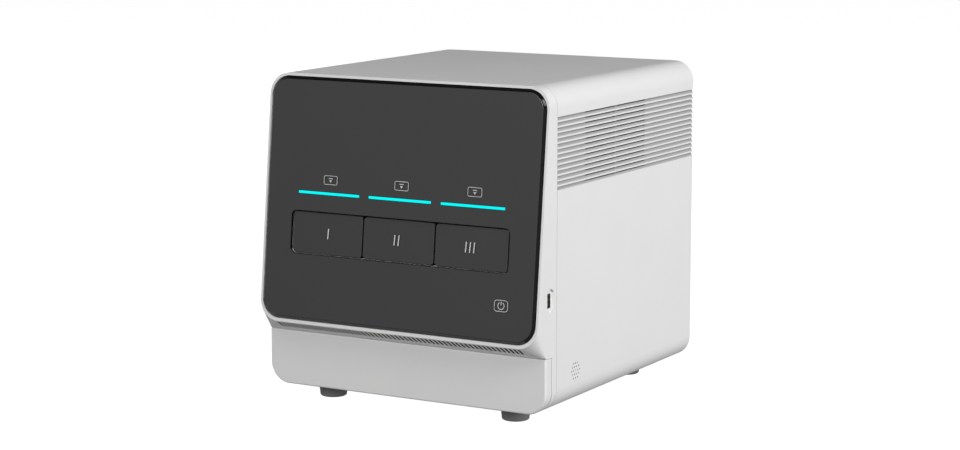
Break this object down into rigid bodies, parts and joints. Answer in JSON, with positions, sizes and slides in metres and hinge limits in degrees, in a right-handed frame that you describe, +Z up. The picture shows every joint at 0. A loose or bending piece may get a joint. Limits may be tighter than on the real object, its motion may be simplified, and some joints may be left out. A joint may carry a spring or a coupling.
{
  "type": "real-time PCR machine",
  "caption": "Bench real-time PCR machine: white louvred case, leaning black front, sample drawers that slide out and lit status bars.",
  "frame": {"origin": "centre of the overall box's footprint, on the bench surface under the feet", "axes": "+X to the machine's right as seen from the front, +Y towards its back, +Z up"},
  "size_m": [0.3, 0.3284, 0.313],
  "materials": {
    "white_housing": "satin moulded ABS",
    "smoked_panel": "back-printed hard-coated acrylic",
    "drawer_black": "satin moulded ABS",
    "status_light": "lit acrylic light pipe",
    "rear_sheet": "fine texture powder coat",
    "zinc_sheet": "zinc-plated folded sheet",
    "foot_rubber": "moulded matt",
    "block_aluminium": "machined and clear anodised",
    "sink_aluminium": "extruded",
    "ceramic": "alumina ceramic faces",
    "acetal": "natural moulded acetal",
    "brass_gear": "hobbed",
    "motor_black": "black enamel",
    "ground_steel": "ground and polished",
    "belt_rubber": "moulded",
    "black_moulding": "moulded, fine matt",
    "circuit_board": "solder mask",
    "nickel_plate": "nickel-plated pressed steel",
    "optics_black": "black anodised"
  },
  "bodies": {
    "case": {"front_shroud": "white_housing", "lower_fascia": "white_housing", "front_panel": "smoked_panel", "status_light_bars": "status_light", "touch_board": "circuit_board", "enclosure_sleeve": "white_housing", "rear_panel": "rear_sheet", "rubber_feet": "foot_rubber", "base_plate": "zinc_sheet", "module_frame": "zinc_sheet", "drawer_runners": "acetal", "drawer_motors": "motor_black", "optics_deck": "zinc_sheet", "lid_guide_pins": "ground_steel", "optics_rods": "ground_steel", "rod_supports": "block_aluminium", "optics_belt": "belt_rubber", "optics_motor": "motor_black", "fan_frames": "black_moulding", "mains_inlet": "black_moulding", "power_switch_body": "black_moulding", "network_port": "nickel_plate", "usb_port": "nickel_plate", "speaker": "black_moulding", "mainboard": "circuit_board", "power_supply": "zinc_sheet"},
    "drawer_1": {"drawer_front_1": "drawer_black", "drawer_tray_1": "zinc_sheet", "heat_sink_1": "sink_aluminium", "peltier_plate_1": "ceramic", "sample_block_1": "block_aluminium", "drawer_rack_1": "acetal"},
    "pinion_1": {"drive_pinion_1": "brass_gear"},
    "lid_1": {"heated_lid_1": "block_aluminium"},
    "drawer_2": {"drawer_front_2": "drawer_black", "drawer_tray_2": "zinc_sheet", "heat_sink_2": "sink_aluminium", "peltier_plate_2": "ceramic", "sample_block_2": "block_aluminium", "drawer_rack_2": "acetal"},
    "pinion_2": {"drive_pinion_2": "brass_gear"},
    "lid_2": {"heated_lid_2": "block_aluminium"},
    "drawer_3": {"drawer_front_3": "drawer_black", "drawer_tray_3": "zinc_sheet", "heat_sink_3": "sink_aluminium", "peltier_plate_3": "ceramic", "sample_block_3": "block_aluminium", "drawer_rack_3": "acetal"},
    "pinion_3": {"drive_pinion_3": "brass_gear"},
    "lid_3": {"heated_lid_3": "block_aluminium"},
    "optics_carriage": {"optics_head": "optics_black"},
    "drive_pulley": {"belt_drive_pulley": "block_aluminium"},
    "idler_pulley": {"belt_idler_pulley": "block_aluminium"},
    "fan_left": {"fan_rotor_left": "black_moulding"},
    "fan_right": {"fan_rotor_right": "black_moulding"},
    "rocker": {"power_rocker": "black_moulding"}
  },
  "joints": [
    {"name": "drawer_1_slide", "type": "slide", "parent": "case", "child": "drawer_1", "axis": [0, -1, 0], "range_m": [0, 0.108]},
    {"name": "pinion_1_spin", "type": "hinge", "parent": "case", "child": "pinion_1", "pos_m": [-0.0712, -0.11522, 0.1473], "axis": [0, 0, 1], "range_deg": [0, 591]},
    {"name": "lid_1_lift", "type": "slide", "parent": "case", "child": "lid_1", "axis": [0, 0, 1], "range_m": [0, 0.004]},
    {"name": "drawer_2_slide", "type": "slide", "parent": "case", "child": "drawer_2", "axis": [0, -1, 0], "range_m": [0, 0.108]},
    {"name": "pinion_2_spin", "type": "hinge", "parent": "case", "child": "pinion_2", "pos_m": [0.0065, -0.11522, 0.1473], "axis": [0, 0, 1], "range_deg": [0, 591]},
    {"name": "lid_2_lift", "type": "slide", "parent": "case", "child": "lid_2", "axis": [0, 0, 1], "range_m": [0, 0.004]},
    {"name": "drawer_3_slide", "type": "slide", "parent": "case", "child": "drawer_3", "axis": [0, -1, 0], "range_m": [0, 0.108]},
    {"name": "pinion_3_spin", "type": "hinge", "parent": "case", "child": "pinion_3", "pos_m": [0.0842, -0.11522, 0.1473], "axis": [0, 0, 1], "range_deg": [0, 591]},
    {"name": "lid_3_lift", "type": "slide", "parent": "case", "child": "lid_3", "axis": [0, 0, 1], "range_m": [0, 0.004]},
    {"name": "optics_scan", "type": "slide", "parent": "case", "child": "optics_carriage", "axis": [1, 0, 0], "range_m": [0, 0.1554]},
    {"name": "drive_pulley_spin", "type": "hinge", "parent": "case", "child": "drive_pulley", "pos_m": [0.102, -0.03722, 0.213], "axis": [0, 1, 0], "range_deg": [0, 1485]},
    {"name": "idler_pulley_spin", "type": "hinge", "parent": "case", "child": "idler_pulley", "pos_m": [-0.102, -0.03722, 0.213], "axis": [0, 1, 0], "range_deg": [0, 1485]},
    {"name": "fan_left_spin", "type": "hinge", "parent": "case", "child": "fan_left", "pos_m": [-0.056, 0.13278, 0.2205], "axis": [0, 1, 0], "continuous": true},
    {"name": "fan_right_spin", "type": "hinge", "parent": "case", "child": "fan_right", "pos_m": [0.056, 0.13278, 0.2205], "axis": [0, 1, 0], "continuous": true},
    {"name": "power_rocker_tip", "type": "hinge", "parent": "case", "child": "rocker", "pos_m": [-0.05, 0.16018, 0.0605], "axis": [1, 0, 0], "range_deg": [0, 18]}
  ],
  "couplings": [
    {"joint": "pinion_1_spin", "follows": "drawer_1_slide", "rad_per_m": 95.238},
    {"joint": "pinion_2_spin", "follows": "drawer_2_slide", "rad_per_m": 95.238},
    {"joint": "pinion_3_spin", "follows": "drawer_3_slide", "rad_per_m": 95.238},
    {"joint": "drive_pulley_spin", "follows": "optics_scan", "rad_per_m": 166.67},
    {"joint": "idler_pulley_spin", "follows": "optics_scan", "rad_per_m": 166.67}
  ]
}
